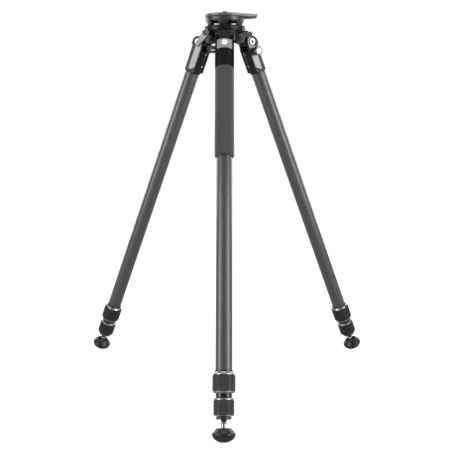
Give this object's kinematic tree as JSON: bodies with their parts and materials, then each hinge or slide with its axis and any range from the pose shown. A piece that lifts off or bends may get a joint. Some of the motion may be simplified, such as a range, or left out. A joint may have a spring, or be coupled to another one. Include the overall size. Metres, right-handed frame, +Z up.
{
  "type": "camera tripod",
  "caption": "Three-leg carbon-fibre camera tripod with twist-lock telescoping legs, angle-lock tabs, a foam leg sleeve and a levelling half-ball platform.",
  "frame": {"origin": "on the floor, at the centre of the bounding box of the standing tripod", "axes": "+Z up; -Y towards the front leg; +X towards the platform nose"},
  "size_m": [0.6484, 0.567, 0.7773],
  "materials": {
    "black_casting": "gloss black die casting",
    "dark_aluminium": "dark grey anodised",
    "grey_casting": "mid-grey bead-blasted",
    "gunmetal": "gunmetal brushed",
    "chrome": "polished",
    "silver": "bright turned",
    "carbon": "clear-coated carbon-fibre weave",
    "foam": "closed-cell foam grip",
    "grip_rubber": "ribbed matte",
    "foot_rubber": "moulded matte",
    "black_plastic": "satin",
    "nylon": "self-coloured nylon",
    "level": "clear dome over green fluid"
  },
  "bodies": {
    "crown": {"crown": "black_casting"},
    "seat_ring": {"seat_ring": "nylon"},
    "levelling_head": {"half_ball": "dark_aluminium", "platform": "dark_aluminium", "bubble_level": "level", "tie_rod": "silver", "clamp_cup": "black_plastic"},
    "clamp_handle": {"clamp_handle": "grey_casting"},
    "camera_screw": {"camera_screw": "silver"},
    "side_lever": {"side_lever": "grey_casting", "side_lever_screw": "chrome"},
    "front_leg": {"front_shoulder": "black_casting", "front_hinge_bolt": "chrome", "front_upper_screw": "chrome", "front_lower_screw": "chrome", "front_upper_tube": "carbon", "front_upper_collar": "silver", "foam_sleeve": "foam"},
    "front_lock_tab": {"front_lock_tab": "gunmetal"},
    "front_upper_lock": {"front_upper_lock": "grip_rubber"},
    "front_middle_section": {"front_middle_tube": "carbon", "front_lower_collar": "silver"},
    "front_lower_lock": {"front_lower_lock": "grip_rubber"},
    "front_lower_section": {"front_lower_tube": "carbon", "front_end_cap": "black_plastic", "front_foot_stud": "chrome", "front_rubber_foot": "foot_rubber"},
    "left_leg": {"left_shoulder": "black_casting", "left_hinge_bolt": "chrome", "left_upper_screw": "chrome", "left_lower_screw": "chrome", "left_upper_tube": "carbon", "left_upper_collar": "silver"},
    "left_lock_tab": {"left_lock_tab": "gunmetal"},
    "left_upper_lock": {"left_upper_lock": "grip_rubber"},
    "left_middle_section": {"left_middle_tube": "carbon", "left_lower_collar": "silver"},
    "left_lower_lock": {"left_lower_lock": "grip_rubber"},
    "left_lower_section": {"left_lower_tube": "carbon", "left_end_cap": "black_plastic", "left_foot_stud": "chrome", "left_rubber_foot": "foot_rubber"},
    "right_leg": {"right_shoulder": "black_casting", "right_hinge_bolt": "chrome", "right_upper_screw": "chrome", "right_lower_screw": "chrome", "right_upper_tube": "carbon", "right_upper_collar": "silver"},
    "right_lock_tab": {"right_lock_tab": "gunmetal"},
    "right_upper_lock": {"right_upper_lock": "grip_rubber"},
    "right_middle_section": {"right_middle_tube": "carbon", "right_lower_collar": "silver"},
    "right_lower_lock": {"right_lower_lock": "grip_rubber"},
    "right_lower_section": {"right_lower_tube": "carbon", "right_end_cap": "black_plastic", "right_foot_stud": "chrome", "right_rubber_foot": "foot_rubber"},
    "side_knob": {"side_knob": "black_plastic", "side_knob_cap": "silver"}
  },
  "joints": [
    {"name": "front_leg_fold", "type": "hinge", "parent": "crown", "child": "front_leg", "pos_m": [0, 0.03187, 0.71661], "axis": [1, 0, 0], "range_deg": [0, 23.5]},
    {"name": "front_angle_lock", "type": "slide", "parent": "front_leg", "child": "front_lock_tab", "axis": [0, -0.3886, -0.9214], "range_m": [0, 0.008], "stiffness_N_per_m": 400, "springref_m": -0.005},
    {"name": "front_upper_twist", "type": "hinge", "parent": "front_leg", "child": "front_upper_lock", "pos_m": [0, -0.23077, 0.09394], "axis": [0, 0.3886, 0.9214], "range_deg": [0, 90]},
    {"name": "front_middle_slide", "type": "slide", "parent": "front_leg", "child": "front_middle_section", "axis": [0, -0.3886, -0.9214], "range_m": [0, 0.52]},
    {"name": "front_lower_twist", "type": "hinge", "parent": "front_middle_section", "child": "front_lower_lock", "pos_m": [0, -0.2471, 0.05524], "axis": [0, 0.3886, 0.9214], "range_deg": [0, 90]},
    {"name": "front_lower_slide", "type": "slide", "parent": "front_middle_section", "child": "front_lower_section", "axis": [0, -0.3886, -0.9214], "range_m": [0, 0.5]},
    {"name": "left_leg_fold", "type": "hinge", "parent": "crown", "child": "left_leg", "pos_m": [-0.04815, 0.11527, 0.71661], "axis": [-0.5, -0.866, 0], "range_deg": [0, 23.5]},
    {"name": "left_angle_lock", "type": "slide", "parent": "left_leg", "child": "left_lock_tab", "axis": [-0.3366, 0.1943, -0.9214], "range_m": [0, 0.008], "stiffness_N_per_m": 400, "springref_m": -0.005},
    {"name": "left_upper_twist", "type": "hinge", "parent": "left_leg", "child": "left_upper_lock", "pos_m": [-0.27561, 0.24659, 0.09394], "axis": [0.3366, -0.1943, 0.9214], "range_deg": [0, 90]},
    {"name": "left_middle_slide", "type": "slide", "parent": "left_leg", "child": "left_middle_section", "axis": [-0.3366, 0.1943, -0.9214], "range_m": [0, 0.52]},
    {"name": "left_lower_twist", "type": "hinge", "parent": "left_middle_section", "child": "left_lower_lock", "pos_m": [-0.28974, 0.25475, 0.05524], "axis": [0.3366, -0.1943, 0.9214], "range_deg": [0, 90]},
    {"name": "left_lower_slide", "type": "slide", "parent": "left_middle_section", "child": "left_lower_section", "axis": [-0.3366, 0.1943, -0.9214], "range_m": [0, 0.5]},
    {"name": "right_leg_fold", "type": "hinge", "parent": "crown", "child": "right_leg", "pos_m": [0.04815, 0.11527, 0.71661], "axis": [-0.5, 0.866, 0], "range_deg": [0, 23.5]},
    {"name": "right_angle_lock", "type": "slide", "parent": "right_leg", "child": "right_lock_tab", "axis": [0.3366, 0.1943, -0.9214], "range_m": [0, 0.008], "stiffness_N_per_m": 400, "springref_m": -0.005},
    {"name": "right_upper_twist", "type": "hinge", "parent": "right_leg", "child": "right_upper_lock", "pos_m": [0.27561, 0.24659, 0.09394], "axis": [-0.3366, -0.1943, 0.9214], "range_deg": [0, 90]},
    {"name": "right_middle_slide", "type": "slide", "parent": "right_leg", "child": "right_middle_section", "axis": [0.3366, 0.1943, -0.9214], "range_m": [0, 0.52]},
    {"name": "right_lower_twist", "type": "hinge", "parent": "right_middle_section", "child": "right_lower_lock", "pos_m": [0.28974, 0.25475, 0.05524], "axis": [-0.3366, -0.1943, 0.9214], "range_deg": [0, 90]},
    {"name": "right_lower_slide", "type": "slide", "parent": "right_middle_section", "child": "right_lower_section", "axis": [0.3366, 0.1943, -0.9214], "range_m": [0, 0.5]},
    {"name": "head_swivel", "type": "hinge", "parent": "crown", "child": "seat_ring", "pos_m": [0, 0.08747, 0.76595], "axis": [0, 0, 1], "continuous": true},
    {"name": "head_tilt", "type": "hinge", "parent": "seat_ring", "child": "levelling_head", "pos_m": [0, 0.08747, 0.76595], "axis": [1, 0, 0], "range_deg": [-10, 10]},
    {"name": "clamp_handle_turn", "type": "hinge", "parent": "levelling_head", "child": "clamp_handle", "pos_m": [0, 0.08747, 0.69995], "axis": [0, 0, 1], "continuous": true},
    {"name": "camera_screw_turn", "type": "hinge", "parent": "levelling_head", "child": "camera_screw", "pos_m": [0, 0.08747, 0.76495], "axis": [0, 0, 1], "continuous": true},
    {"name": "side_lever_turn", "type": "hinge", "parent": "crown", "child": "side_lever", "pos_m": [-0.03601, 0.0511, 0.72895], "axis": [-0.5, -0.866, 0], "range_deg": [-35, 35]},
    {"name": "side_knob_turn", "type": "hinge", "parent": "right_leg", "child": "side_knob", "pos_m": [0.05269, 0.11789, 0.69647], "axis": [0.5, -0.866, 0], "continuous": true}
  ]
}
